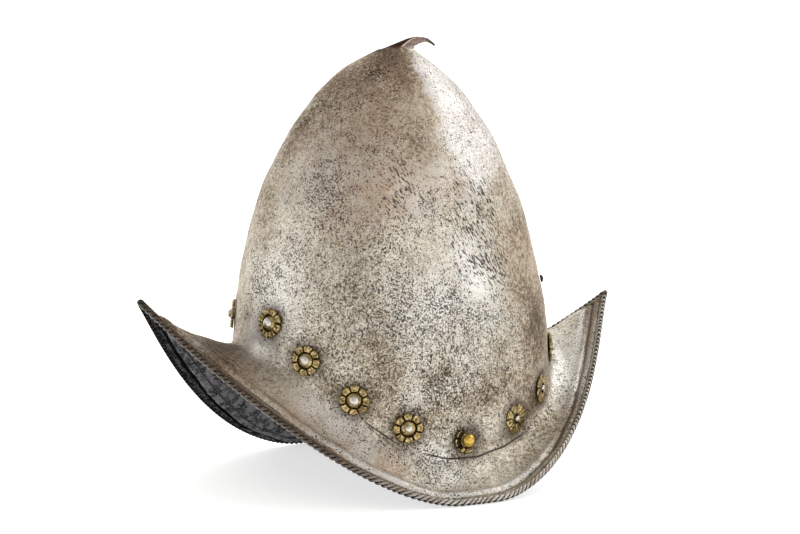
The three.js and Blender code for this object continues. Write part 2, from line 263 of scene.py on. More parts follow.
def brim_point(turn, share):
    start = junction_point(turn)
    end = edge_point(turn)
    share = np.asarray(share, float)[..., None]
    point = start + (end - start) * share
    point[..., 2:] -= 4 * brim_dish * share * (1 - share)
    return point


edge_line = edge_point(np.arange(720) / 720 * TAU)[:, :2]


def distance_to_edge(points):
    """Plan distance from points of shape (n, 3) to the outermost line."""
    start = edge_line
    step = np.roll(edge_line, -1, 0) - start
    length2 = np.maximum((step**2).sum(1), 1e-9)
    near = np.full(len(points), np.inf)
    for k in range(len(start)):
        rel = points[:, :2] - start[k]
        t = np.clip(rel @ step[k] / length2[k], 0, 1)
        near = np.minimum(near, np.hypot(*(rel - t[:, None] * step[k]).T))
    return near


class EdgeShares:
    """Shares of the way out at which the brim lies given distances inside its edge, for a set of turns."""

    def __init__(self, turns):
        self.turns = turns
        self.shares = np.linspace(0, 1, 81)
        grid = brim_point(turns[:, None], np.broadcast_to(self.shares, (len(turns), 81)))
        self.inside = distance_to_edge(grid.reshape(-1, 3)).reshape(len(turns), 81)

    def share(self, inside):
        return np.array([np.interp(-inside, -row, self.shares) for row in self.inside])

    def distance(self, share):
        return np.array([np.interp(s, self.shares, row) for s, row in zip(share, self.inside)])


def waves(points, length, seed, count=28):
    """Smooth random field of about unit spread whose bumps are one length apart."""
    rng = np.random.default_rng(seed)
    direction = rng.normal(size=(count, 3))
    direction /= np.linalg.norm(direction, axis=1)[:, None]
    number = TAU / length * rng.uniform(0.7, 1.4, count)
    phase = rng.uniform(0, TAU, count)
    flat = points.reshape(-1, 3)
    total = np.zeros(len(flat))
    for k in range(count):
        total += np.cos(flat @ direction[k] * number[k] + phase[k])
    return (total / math.sqrt(count / 2)).reshape(points.shape[:-1])


def smooth_rings(rings, count):
    """Rings between given ones, by cubic pieces; the first and the last ring only set slopes."""
    gaps = [np.linalg.norm(b - a, axis=1).mean() for a, b in zip(rings, rings[1:])]
    at = np.concatenate([[0], np.cumsum(gaps)])
    slope = [None]
    for k in range(1, len(rings) - 1):
        slope.append((rings[k + 1] - rings[k - 1]) / (at[k + 1] - at[k - 1]))
    found = []
    for s in np.linspace(at[1], at[-2], count):
        k = min(max(int(np.searchsorted(at, s)) - 1, 1), len(rings) - 3)
        span = at[k + 1] - at[k]
        t = (s - at[k]) / span
        found.append(
            (2 * t**3 - 3 * t**2 + 1) * rings[k]
            + (t**3 - 2 * t**2 + t) * span * slope[k]
            + (3 * t**2 - 2 * t**3) * rings[k + 1]
            + (t**3 - t**2) * span * slope[k + 1]
        )
    return found


def grid_normals(grid):
    """Unit normals, pointing out of the shell, of rows that run down and columns that close round."""
    down = np.gradient(grid, axis=0)
    across = np.roll(grid, -1, 1) - np.roll(grid, 1, 1)
    normal = np.cross(down, across)
    return normal / np.maximum(np.linalg.norm(normal, axis=-1, keepdims=True), 1e-12)


def mesh_object(name, points, faces):
    mesh = bpy.data.meshes.new(name)
    shifted = np.array(points, float)
    shifted[:, 1] += forward_shift
    mesh.from_pydata((shifted * MM).tolist(), [], faces)
    mesh.polygons.foreach_set("use_smooth", [True] * len(mesh.polygons))
    mesh.update()
    made = bpy.data.objects.new(name, mesh)
    bpy.context.scene.collection.objects.link(made)
    return made


def point_attribute(made, name, values):
    attribute = made.data.attributes.new(name, "FLOAT", "POINT")
    attribute.data.foreach_set("value", np.asarray(values, np.float32).ravel())


def band_faces(rows, count, close_rows=False):
    """Quads of a grid whose columns close round."""
    faces = []
    last = rows if close_rows else rows - 1
    for r in range(last):
        a = r * count
        b = ((r + 1) % rows) * count
        for i in range(count):
            j = (i + 1) % count
            faces.append((a + i, b + i, b + j, a + j))
    return faces


turns = np.arange(columns) / columns * TAU
turned_degrees = np.degrees(signed(turns))
edge_shares = EdgeShares(turns)

# Rosette seats


def skull_normal(turn, z):
    step = 1e-3
    along_turn = skull_point(turn + step, z) - skull_point(turn - step, z)
    along_height = skull_point(turn, z + step) - skull_point(turn, z - step)
    normal = np.cross(along_turn, along_height)
    return normal / np.linalg.norm(normal)


def seat_on_skull(turn, z):
    """Point, across, up and out direction on the outside of the skull."""
    out = skull_normal(turn, z)
    across = np.cross((0, 0, 1), out)
    across /= np.linalg.norm(across)
    return skull_point(turn, z), across, np.cross(out, across), out


def rosette_seats():
    """Seat of every rosette, from the wearer's left of the front midline round by the rear."""
    found = []
    half = (rosette_count - 1) // 2
    for k in range(rosette_count):
        share, raised = rosette_settings[k if k <= half else rosette_count - 1 - k]
        turn = math.pi * (share if k <= half else -share)
        found.append(seat_on_skull(turn, float(rosette_line_height(turn)) + raised * rosette_radius))
    return found


seats = rosette_seats()

# Shell


def stalk_ring(along, height, length, width, tilt):
    lean = math.radians(tilt)
    forward = stalk_root_half * length * np.cos(turns)
    return np.stack([
        stalk_root_half * width * np.sin(turns),
        stalk_reach * along - forward * math.cos(lean),
        brim_side_drop + skull_depth + stalk_rise * height + forward * math.sin(lean),
    ], -1)


def skull_ring(share):
    return skull_point(turns, np.full(columns, brim_side_drop + skull_depth * share))


def fold_relief(t):
    """Relief of the fold lines beside the junction at a share of the way through its fillet."""
    degrees = turned_degrees
    along = ramp(degrees, 74, 8) * ramp(degrees, 130, -14)
    front = ramp(degrees, 57, 2) * ramp(degrees, 72, -6)
    wander = 0.06 * np.sin(degrees / 4.7) + 0.03 * np.sin(degrees / 1.9)
    main = -0.75 * gauss(t, 0.6 + wander, 0.055) + 0.4 * gauss(t, 0.72 + wander, 0.07)
    past = degrees - 64
    pair = -0.7 * gauss(t, 0.36 + 0.02 * past, 0.05) - 0.4 * gauss(t, 0.56 + 0.03 * past, 0.05)
    return along * main + front * pair


def shell_rows():
    """Rows of the outside from tip to rope, their distances inside the edge and the fold's relief."""
    top = brim_side_drop + skull_depth
    rings = [stalk_ring(*section) for section in stalk_sections]
    before = 2 * rings[0] - rings[1]
    rows = smooth_rings([before, *rings, skull_ring(1.0), skull_ring(0.98)], stalk_rows)
    far = np.full(columns, far_inside)
    inside = [far] * len(rows)
    folds = {}
    fillet = side_fillet + (end_fillet - side_fillet) * np.cos(turns) ** 2
    low = junction_height(turns) + fillet
    for k in range(1, skull_rows + 1):
        down = (k / skull_rows) ** 1.25
        rows.append(skull_point(turns, top - (top - low) * down))
        inside.append(far)
    corner = junction_point(turns)
    width = np.linalg.norm(edge_point(turns) - corner, axis=1)
    start_share = fillet / width
    start = rows[-1]
    end = brim_point(turns, start_share)
    for k in range(1, fillet_rows + 1):
        t = k / fillet_rows
        folds[len(rows)] = fold_relief(t)
        rows.append((1 - t) ** 2 * start + 2 * t * (1 - t) * corner + t**2 * end)
        inside.append(edge_shares.distance(start_share * t))
    detail_share = edge_shares.share(detail_distance)
    for k in range(1, brim_rows + 1):
        share = start_share + (detail_share - start_share) * k / brim_rows
        rows.append(brim_point(turns, share))
        inside.append(edge_shares.distance(share))
    for d in detail_rows:
        rows.append(brim_point(turns, edge_shares.share(d)))
        inside.append(np.full(columns, d))
    fold = np.zeros((len(rows), columns))
    for row, relief in folds.items():
        fold[row] = relief
    return np.array(rows), np.array(inside), fold


outside, inside_edge, fold = shell_rows()
normals = grid_normals(outside)
row_count = len(outside)

hammer = sum(height * waves(outside, length, seed) for height, length, seed in hammer_marks)
hammer = hammer * (1 - 0.85 * ramp(outside[..., 2], 255, 25))
row_share = np.minimum(np.arange(row_count) / (stalk_rows - 1), 1.0)[:, None]
crease_line = 40 + 42 * ramp(row_share, 0.35, 0.6)
rows_to_root = (stalk_rows + 2 - np.arange(row_count))[:, None]
on_stem = (rows_to_root > 0) * ramp(row_share, 0.12, 0.1)
crease = gauss(turned_degrees, crease_line, 11 - 5 * row_share) * on_stem * ramp(row_share, 0.98, -0.12)
above_crease = ramp(turned_degrees, crease_line, -8) * ramp(rows_to_root, 0, 9)


def chased(lines):
    return sum(height * gauss(inside_edge, place, width) for place, height, width in lines)


near_rope = ramp(inside_edge, 3.6, 3)
raised = hammer * near_rope + chased(lines_above) + fold + 0.45 * crease
shell_out = outside + normals * raised[..., None]
under_relief = 1.6 * hammer * near_rope + chased(lines_below)
plate_inside = outside + normals * (under_relief - wall)[..., None]
first_brim_row = stalk_rows + skull_rows
first_detail_row = first_brim_row + fillet_rows + brim_rows
rows_inside = [
    *range(stalk_rows, first_brim_row, skull_rows_a_row_inside),
    *range(first_brim_row, first_detail_row, brim_rows_a_row_inside),
    *range(first_detail_row, row_count),
][::-1]
shell_in = plate_inside[rows_inside]


def halo_dirt_and_shade_round_seats():
    near = np.min([np.linalg.norm(shell_out - seat[0], axis=-1) for seat in seats], axis=0)
    return np.clip(1 - (near - rosette_radius + halo_overlap) / halo_reach, 0, 1) ** 1.15


# Stains, worn places and painted highlights: turn in degrees and height on the skull, turn and share of the
# way out on the brim, or x, y and z on the stalk; then radius in millimetres and amount
tarnish_on_skull = (
    (66, 252, 22, 0.3), (75, 232, 20, 0.15), (85, 262, 12, 0.3), (10, 250, 24, 0.3), (5, 215, 28, 0.15),
    (14, 185, 20, 0.1), (30, 235, 20, -0.15), (20, 135, 26, -0.35), (12, 105, 14, -0.1),
    (80, 182, 22, -0.5), (78, 165, 16, -0.2), (92, 200, 12, -0.3), (107, 131, 10, -0.6),
    (138, 180, 30, 0.2), (112, 150, 13, 0.05), (24, 198, 22, -0.25), (37, 202, 18, -0.25),
    (66, 80, 13, 0.1), (122, 197, 18, 0.3), (123, 128, 22, 0.3), (122, 88, 22, 0.3), (137, 100, 16, 0.35),
    (56, 62, 9, 0.6), (94, 58, 13, 0.15), (84, 78, 9, 0.25), (84, 215, 12, 0.5), (104, 62, 12, 0.5),
    (67, 124, 16, -0.3), (12, 262, 18, 0.35), (2, 225, 18, 0.25), (140, 235, 24, 0.35),
    (58, 272, 10, 0.6), (72, 264, 12, 0.3), (82, 273, 7, 0.5), (58, 90, 20, 0.2), (45, 70, 11, 0.6),
    (6, 112, 8, 0.4), (64, 62, 15, 0.25), (76, 50, 12, 0.4), (100, 114, 20, -0.6), (75, 118, 22, -0.1),
)
tarnish_on_brim = (
    (12, 0.35, 19, 0.75), (22, 0.45, 16, 0.35), (8, 0.8, 24, 0.45), (24, 0.15, 9, 0.1),
    (-25, 0.5, 30, 0.4), (36, 0.05, 9, -0.3), (28, 0.75, 14, 0.1), (52, 0.4, 18, -0.35),
    (66, 0.45, 16, -0.15), (80, 0.3, 15, -0.3), (110, 0.5, 20, 0.1), (140, 0.5, 22, -0.4),
    (160, 0.4, 22, -0.35), (176, 0.9, 20, 0.45),
)
tarnish_on_stalk = (
    (-3, -8, 280, 10, 0.7), (-2, 4, 284, 10, 0.9), (-2, 16, 286, 9, 1.1), (-1, 27, 286, 8, 1.1),
    (0, 35, 281, 7, 1.1), (6, 17, 276, 4, -1.0),
)
streaks_on_skull = (
    (106, 165, 26, 0.8), (106, 140, 18, 0.7), (112, 190, 20, 0.7), (70, 188, 16, 0.8), (76, 205, 12, 0.6),
    (120, 150, 16, 0.5),
)
pits_on_skull = (
    (70, 125, 44, 0.2), (45, 110, 26, 0.15), (85, 100, 30, 0.2), (100, 120, 24, 0.2),
    (104, 170, 24, 0.25), (60, 232, 30, 0.2), (40, 190, 30, 0.1), (57, 273, 8, 0.5), (49, 264, 8, 0.7),
    (106, 150, 18, 0.2), (12, 125, 12, 0.25), (12, 235, 40, 0.2), (98, 240, 22, -0.3), (14, 100, 12, 0.1),
    (136, 140, 26, -0.4), (102, 130, 10, -0.6), (62, 76, 18, 0.15), (108, 70, 18, 0.15),
    (88, 68, 20, 0.25), (118, 95, 24, 0.25),
)
pits_on_brim = (
    (78, 0.06, 14, 0.35), (92, 0.08, 12, 0.2), (125, 0.3, 18, 0.15), (20, 0.4, 40, -0.25),
    (45, 0.55, 26, -0.15), (70, 0.75, 16, -0.25),
)
# Painted highlights: near-white spots laid on the steel where the lamps' reflections fall
painted_highlights_on_skull = (
    (101, 130, 12, 1.1), (18, 115, 14, 0.35), (75, 64, 8, 0.7), (97, 152, 11, 0.85), (110, 162, 10, 0.2),
    (77, 84, 10, 0.3), (95, 76, 8, 0.4), (16, 97, 11, 1.0), (33, 190, 24, 0.2), (18, 140, 22, 0.25),
    (22, 112, 12, 0.3), (107, 150, 8, 0.35), (92, 200, 12, 0.3), (79, 184, 12, 0.35), (85, 123, 14, 0.7),
    (76, 112, 13, 0.6), (104, 105, 9, 0.35), (24, 128, 14, 0.45),
)
painted_highlights_on_brim = (
    (153, 0.3, 13, 0.95), (142, 0.4, 11, 0.95), (84, 0.0, 8, 0.8), (76, 0.05, 10, 0.4),
    (86, 0.27, 11, 0.85), (53, 0.19, 11, 0.75), (44, 0.2, 10, 0.7), (62, 0.34, 10, 0.65),
    (15, 0.0, 8, 0.35), (26, 0.85, 12, 0.25),
)
cool_on_skull = ((8, 105, 16, 0.5), (16, 95, 14, 0.4))
cool_on_brim = ((8, 0.1, 18, 0.6), (22, 0.15, 16, 0.6))
rust_on_skull = (
    (60, 240, 40, 0.55), (46, 200, 44, 0.5), (70, 190, 24, 0.5), (88, 195, 16, 0.35), (130, 140, 34, 0.1),
    (58, 270, 16, 0.5), (70, 130, 40, 0.15),
)
rust_on_brim = (
    (58, 0.5, 14, 1.1), (68, 0.5, 13, 0.8), (46, 0.45, 16, 0.8), (30, 0.55, 18, 0.6),
)


# Name, spots on the skull, the brim and the stalk, level, spread and seed of the random part
surface_fields = (
    ("tarnish", tarnish_on_skull, tarnish_on_brim, tarnish_on_stalk, 0.5, 0.07, 31),
    ("streaks", streaks_on_skull, (), (), 0.0, 0.03, 43),
    ("pitting", pits_on_skull, pits_on_brim, (), 0.45, 0.07, 37),
    ("sheen", painted_highlights_on_skull, painted_highlights_on_brim, (), 0.0, 0.0, 47),
    ("cool", cool_on_skull, cool_on_brim, (), 0.0, 0.0, 59),
    ("rust", rust_on_skull, rust_on_brim, (), 0.0, 0.04, 41),
)


def spot_field(on_skull, on_brim, on_stalk, level, spread, seed):
    """Level, a smooth random part and the spots, over the outside."""
    spots = [(skull_point(math.radians(turn), height), *rest) for turn, height, *rest in on_skull]
    spots += [(brim_point(math.radians(turn), share), *rest) for turn, share, *rest in on_brim]
    spots += [((x, y, z), *rest) for x, y, z, *rest in on_stalk]
    total = level + spread * waves(shell_out, 55, seed)
    for centre, radius, amount in spots:
        away = ((shell_out - centre) ** 2).sum(-1)
        total = total + amount * np.exp(-away / radius**2)
    return np.clip(total, 0, 1.6)


def side_highlight_share():
    """How far each point of the outside lies on the rear flank of the skull, where a highlight is painted.
    """
    degrees = turned_degrees
    z = outside[..., 2]
    line = 98 + 3 * np.sin(z / 21) + 3.5 * waves(outside, 18, 53) - 6 * gauss(z, 142, 18)
    widens = ramp(z, 180, 60)
    before = ramp(degrees, 108 + 90 * widens, -10 - 20 * widens)
    return ramp(degrees, line, 7) * before * ramp(z, 100, 30) * ramp(z, 282, -10)


painted_side_highlight = side_highlight_share()
lower_rear = ramp(turned_degrees, 116, 9) * ramp(outside[..., 2], 190, -30) * (inside_edge > 60)


def build_shell():
    rows = np.concatenate([shell_out, shell_in])
    tip = stalk_sections[0]
    top = brim_side_drop + skull_depth
    tip_point = (0, stalk_reach * (tip[0] + tip[2] * stalk_tip_point), top + stalk_rise * tip[1])
    hollow_top = (0, apex_shift, top - wall)
    points = np.concatenate([rows.reshape(-1, 3), [tip_point, hollow_top]])
    faces = band_faces(len(rows), columns)
    first = len(points) - 2
    last_row = (len(rows) - 1) * columns
    for i in range(columns):
        j = (i + 1) % columns
        faces.append((first, i, j))
        faces.append((first + 1, last_row + j, last_row + i))
    made = mesh_object("helmet_shell", points, faces)
    levels = {}
    fields = {}
    for name, *settings, level, spread, seed in surface_fields:
        levels[name] = level
        fields[name] = spot_field(*settings, level, spread, seed)
    # Tarnish is lowered under the painted flank highlight, making it lighter still, and raised on the lower
    # rear
    fields["tarnish"] = fields["tarnish"] - 0.3 * painted_side_highlight + 0.26 * lower_rear
    fields["halo_dirt_and_shade"] = halo_dirt_and_shade_round_seats()
    fields["fold"] = np.clip(-fold, 0, 1)
    fields["painted_side_highlight"] = painted_side_highlight
    fields["crease"] = crease
    fields["on_stem"] = on_stem * (row_share < 0.97)
    fields["above_crease"] = above_crease
    for name, field in fields.items():
        rest = np.full(len(points) - inside_edge.size, levels.get(name, 0.0))
        point_attribute(made, name, np.append(np.broadcast_to(field, inside_edge.shape), rest))
    distance = np.concatenate([inside_edge, inside_edge[rows_inside]])
    point_attribute(made, "inside_edge", np.append(distance, [far_inside, far_inside]))
    under = np.arange(len(rows)) >= row_count
    point_attribute(made, "under", np.append(np.repeat(under, columns), [0, 0]))
    point_attribute(made, "around", np.append(np.tile(signed(turns), len(rows)), [0, 0]))
    return made


shell = build_shell()

# Roped edge


def build_rope():
    radius = rope_diameter / 2
    fine = np.arange(rope_line_points) / rope_line_points * TAU
    line = brim_point(fine, EdgeShares(fine).share(radius))
    steps = np.linalg.norm(np.roll(line, -1, 0) - line, axis=1)
    at = np.concatenate([[0], np.cumsum(steps)])
    length = at[-1]
    notches = round(length / rope_pitch)
    count = notches * rope_points_a_notch
    s = np.arange(count) / count * length
    closed = np.concatenate([line, line[:1]])
    middle = np.stack([np.interp(s, at, closed[:, k]) for k in range(3)], -1)
    for _ in range(3):
        middle = (np.roll(middle, 1, 0) + 2 * middle + np.roll(middle, -1, 0)) / 4
    tangent = np.roll(middle, -2, 0) - np.roll(middle, 2, 0)
    tangent /= np.linalg.norm(tangent, axis=1)[:, None]
    out = np.cross(tangent, (0, 0, 1.0))
    out /= np.linalg.norm(out, axis=1)[:, None]
    up = np.cross(out, tangent)
    angle = np.arange(rope_sides) / rope_sides * TAU
    wobble = 0.12 * waves(middle, 21, 17)
    lift = np.sin(angle)
    phase = (s / length * notches + wobble)[:, None] - rope_slant * lift
    ridge = np.abs(np.sin(math.pi * phase))
    forward = (-middle[:, 1] / front_reach)[:, None]
    at_front = ramp(forward, 0.35, 0.3)
    at_rear = ramp((middle[:, 1] / rear_reach)[:, None], 0.35, 0.3)
    notch = gauss(ridge, 0, 0.36 + 0.3 * np.clip(-lift, 0, 1) + 0.2 * at_rear)
    low_half = 0.2 + 0.8 * ramp(lift, 0.9, -0.6)
    low_half = low_half + (1 - low_half) * at_rear
    depth = (rope_cut_depth + 0.2 * waves(middle, 30, 19)[:, None]) * (1 - 0.55 * at_front) * low_half
    r = (radius * 1.02 - depth * notch) * (1 - 0.3 * at_rear)
    middle = middle + out * (radius * 0.3 * at_rear)
    points = (
        middle[:, None]
        + out[:, None] * (r * np.cos(angle))[..., None]
        + up[:, None] * (r * np.sin(angle))[..., None]
    )
    made = mesh_object("roped_edge", points.reshape(-1, 3), band_faces(count, rope_sides, True))
    inner_side = np.clip(-2 * np.cos(angle) - 0.6, 0, 1) * (lift < 0.4)
    reach = np.where(middle[:, 1] < 0, front_reach, rear_reach)
    # Painted highlight: a thin pale line on the lower outer side of the rope, on the near front
    rim = gauss(np.degrees(signed(angle)), -62, 22)
    near_side = (middle[:, 0] > 0)[:, None]
    fields = {
        "crevice": notch * low_half,
        "under": np.clip(np.clip(-2.2 * lift - 0.3, 0, 1) + inner_side * at_front, 0, 1),
        "at_tip": ramp((np.abs(middle[:, 1]) / reach)[:, None], 0.955, 0.03),
        "at_front": ramp(forward, 0.15, 0.35),
        "at_rear": at_rear,
        "painted_rim_highlight": at_front * near_side * rim * (1 - notch * 0.25),
    }
    for name, field in fields.items():
        point_attribute(made, name, np.broadcast_to(field, (count, rope_sides)))
    return made


rope = build_rope()

# Rosettes and rivets


def rosette_surface(flat, kept, seed):
    """Points, faces and crevices of a rosette, out along z; kept is the range of angles left."""
    rng = np.random.default_rng(seed)
    sides = 128
    whole = kept is None
    hole = 3.4 if flat else 1.8
    collar_edge = 4.9
    petal_foot = 5.15
    radii = [*np.linspace(hole, collar_edge, 9), *np.linspace(petal_foot, rosette_radius, 17)]
    share = np.arange(sides) / (sides if whole else sides - 1)
    start, end = (0.0, TAU) if whole else kept
    ragged = 0.0 if whole else 0.13
    turned = rng.uniform(0, TAU / petal_count)
    rows = []
    crevices = []
    for radius in radii:
        a0 = start + ragged * math.sin(radius * 2.1 + 1)
        a1 = end + ragged * math.sin(radius * 2.7)
        angle = a0 + (a1 - a0) * share
        petal = np.abs(np.cos(petal_count / 2 * (angle + turned)))
        size = 1 + 0.05 * np.sin(angle * 3 + seed)
        if not whole:
            size = size * 0.84
        lobe = eased(ramp(petal, 0.1, 0.24))
        if radius <= collar_edge:
            t = (radius - hole) / (collar_edge - hole)
            rim = radius + 0 * angle
            if flat:
                height = 0.6 + 0.85 * lobe * min(t * 4, 1)
                crevice = 1.05 - lobe + (0.6 if t < 0.15 else 0)
            else:
                height = collar_height * (1 - 0.62 * t**2.4) + 0 * angle
                crevice = 0.05 + 0.7 * max(t - 0.84, 0) / 0.16 + 0 * angle
        else:
            t = (radius - petal_foot) / (rosette_radius - petal_foot)
            rim = petal_foot + (radius - petal_foot) * size * (1 - 0.17 * (1 - petal) ** 1.5)
            middle = ramp(petal, 0.72, 0.28) * math.sin(math.pi * t)
            if flat:
                height = 0.6 + 0.85 * lobe * (1 - 0.6 * t**6) - 0.12 * middle
                crevice = 1.05 - lobe + (0.35 if t > 0.96 else 0)
            else:
                climb = eased(min(t / 0.14, 1))
                height = 0.45 + 1.7 * size * lobe * climb * (1 - 0.45 * t**7) - 0.45 * middle
                crevice = 1.1 - lobe * climb + 0.3 * middle
        if not whole:
            crushed = np.degrees(angle) < crushed_before
            crevice = crevice + 0.75 * crushed * (0.1 < t < 0.85)
            height = height - 0.5 * crushed * (0.2 < t < 0.8)
        rows.append(np.stack([rim * np.cos(angle), rim * np.sin(angle), fit_gap + height], -1))
        crevices.append(np.clip(crevice + 0 * angle, 0, 1))
    foot, rim = (row * (1, 1, 0) + (0, 0, fit_gap) for row in (rows[0], rows[-1]))
    rows = [foot, *rows, rim]
    crevices = [np.ones(sides), *crevices, np.full(sides, 0.35)]
    count = len(rows)
    points = np.array(rows).reshape(-1, 3)
    faces = []
    for r in range(count):
        following = (r + 1) % count
        for i in range(sides if whole else sides - 1):
            j = (i + 1) % sides
            faces.append((r * sides + i, following * sides + i, following * sides + j, r * sides + j))
    if not whole:
        faces.append(tuple(r * sides for r in range(count)))
        faces.append(tuple(r * sides + sides - 1 for r in reversed(range(count))))
    return points, faces, np.concatenate(crevices)


def placed(points, seat):
    origin, *axes = seat
    return points @ np.stack(axes) + origin


def build_rosette(number, seat):
    flat = number in flat_numbers
    kept = np.radians(broken_range) if number == broken_number else None
    points, faces, crevice = rosette_surface(flat, kept, number)
    made = mesh_object(f"brass_rosette_{number}", placed(points, seat), faces)
    point_attribute(made, "crevice", crevice)
    return made


def domed_head(name, seat, radius, height, low, shift):
    """Round head with a short upright rim, moved across its seat by a shift."""
    sides = 32
    steps = 11
    angle = np.arange(sides) / sides * TAU
    rows = [np.stack([radius * np.cos(angle) + shift, radius * np.sin(angle), np.full(sides, low)], -1)]
    rim = 0.5
    for k in range(steps):
        lift = math.pi / 2 * k / steps
        r = radius * math.cos(lift)
        z = low + rim + height * math.sin(lift)
        rows.append(np.stack([r * np.cos(angle) + shift, r * np.sin(angle), np.full(sides, z)], -1))
    points = np.concatenate([np.array(rows).reshape(-1, 3), [(shift, 0, low + rim + height)]])
    faces = [tuple(reversed(face)) for face in band_faces(len(rows), sides)]
    last = (len(rows) - 1) * sides
    for i in range(sides):
        faces.append((last + i, last + (i + 1) % sides, len(points) - 1))
    faces.append(tuple(reversed(range(sides))))
    return mesh_object(name, placed(points, seat), faces)


def build_rivet(number, seat):
    name = f"rivet_head_{number}"
    if number == broken_number:
        return domed_head(name, seat, ball_head_radius, ball_head_height, 1.6, 0.0)
    if number in flat_numbers:
        return domed_head(name, seat, flat_head_radius, flat_head_height, 0.5, flat_head_shift)
    radius = small_head_radius if number in small_head_numbers else rivet_head_radius * 1.08
    return domed_head(name, seat, radius, rivet_head_height, fit_gap + collar_height - 0.4, 0.0)


rosettes = [build_rosette(k + 1, seat) for k, seat in enumerate(seats)]
rivets = [build_rivet(k + 1, seat) for k, seat in enumerate(seats)]
rear_seat = seat_on_skull(rear_rivet_turn * math.pi, rear_rivet_height)
rear_rivet = domed_head(
    "small_rivet_head", rear_seat, rear_rivet_head_radius, rear_rivet_head_height, 0.2, 0.0
)

# Materials

# Slanted worn strokes run down and back across the wearer's left side
streak_direction = (0.27, 0.53, -0.8)


class Looks:
    """A material and short calls that add nodes to it."""

    def __init__(self, name):
        self.material = bpy.data.materials.new(name)
        self.material.use_nodes = True
        self.tree = self.material.node_tree
        self.tree.nodes.clear()
        self.output = self.tree.nodes.new("ShaderNodeOutputMaterial")
        self.colour = None

    def add(self, kind, inputs=None, **settings):
        made = self.tree.nodes.new(kind)
        for key, value in settings.items():
            setattr(made, key, value)
        for key, value in (inputs or {}).items():
            self.set(made.inputs[key], value)
        return made

    def set(self, socket, value):
        if isinstance(value, bpy.types.NodeSocket):
            self.tree.links.new(value, socket)
        else:
            socket.default_value = value

    def coordinates(self):
        return self.add("ShaderNodeTexCoord").outputs["Object"]

    def noise(self, vector, scale, detail=3.0, roughness=0.5, distortion=0.0):
        inputs = {"Vector": vector, "Scale": scale, "Detail": detail}
        inputs.update({"Roughness": roughness, "Distortion": distortion})
        return self.add("ShaderNodeTexNoise", inputs).outputs["Fac"]

    def math(self, operation, a, b=0.0, clamp=False):
        return self.add("ShaderNodeMath", {0: a, 1: b}, operation=operation, use_clamp=clamp).outputs[0]

    def times(self, product, *factors, clamp=False):
        for factor in factors:
            product = self.math("MULTIPLY", product, factor, clamp)
        return product

    def plus(self, a, b, clamp=False):
        return self.math("ADD", a, b, clamp)

    def minus(self, a, b):
        return self.math("SUBTRACT", a, b)

    def span(self, value, low, high, to_low=0.0, to_high=1.0):
        inputs = {"Value": value, "From Min": low, "From Max": high, "To Min": to_low, "To Max": to_high}
        return self.add("ShaderNodeMapRange", inputs, interpolation_type="SMOOTHSTEP").outputs["Result"]

    def line(self, value, place, near, far, amount):
        """Amount where a value is near a place, fading to nothing from one distance to another."""
        return self.span(self.math("ABSOLUTE", self.minus(value, place)), near, far, amount, 0.0)

    def mix(self, factor, a, b):
        made = self.add("ShaderNodeMix", data_type="RGBA")
        for key, value in (("Factor", factor), (6, a), (7, b)):
            self.set(made.inputs[key], (*value, 1) if isinstance(value, tuple) else value)
        return made.outputs[2]

    def paint(self, factor, top):
        """Lay a colour over the one so far, as far as the factor says."""
        self.colour = self.mix(factor, self.colour, top)

    def attribute(self, name):
        return self.add("ShaderNodeAttribute", attribute_name=name).outputs["Fac"]

    def blend(self, factor, a, b):
        """Number part of the way from one to another."""
        return self.add("ShaderNodeMix", {"Factor": factor, 2: a, 3: b}, data_type="FLOAT").outputs[0]

    def line_noise(self, value):
        inputs = {"W": value, "Scale": 1.0, "Detail": 2.0}
        return self.add("ShaderNodeTexNoise", inputs, noise_dimensions="1D").outputs["Fac"]

    def stretched(self, vector, direction, squeeze):
        """Coordinates in which noise is drawn out along a direction."""
        along = self.add("ShaderNodeVectorMath", {0: vector, 1: direction}, operation="DOT_PRODUCT")
        back_off = self.math("MULTIPLY", along.outputs["Value"], squeeze - 1)
        part = self.add("ShaderNodeVectorMath", {0: direction, "Scale": back_off}, operation="SCALE")
        return self.add("ShaderNodeVectorMath", {0: vector, 1: part.outputs[0]}).outputs[0]

    def bump(self, height, distance, strength):
        inputs = {"Height": height, "Distance": distance, "Strength": strength}
        return self.add("ShaderNodeBump", inputs).outputs["Normal"]

    def surface(self, **inputs):
        made = self.add("ShaderNodeBsdfPrincipled")
        for key, value in inputs.items():
            self.set(made.inputs[key.replace("_", " ")], value)
        self.tree.links.new(made.outputs[0], self.output.inputs[0])


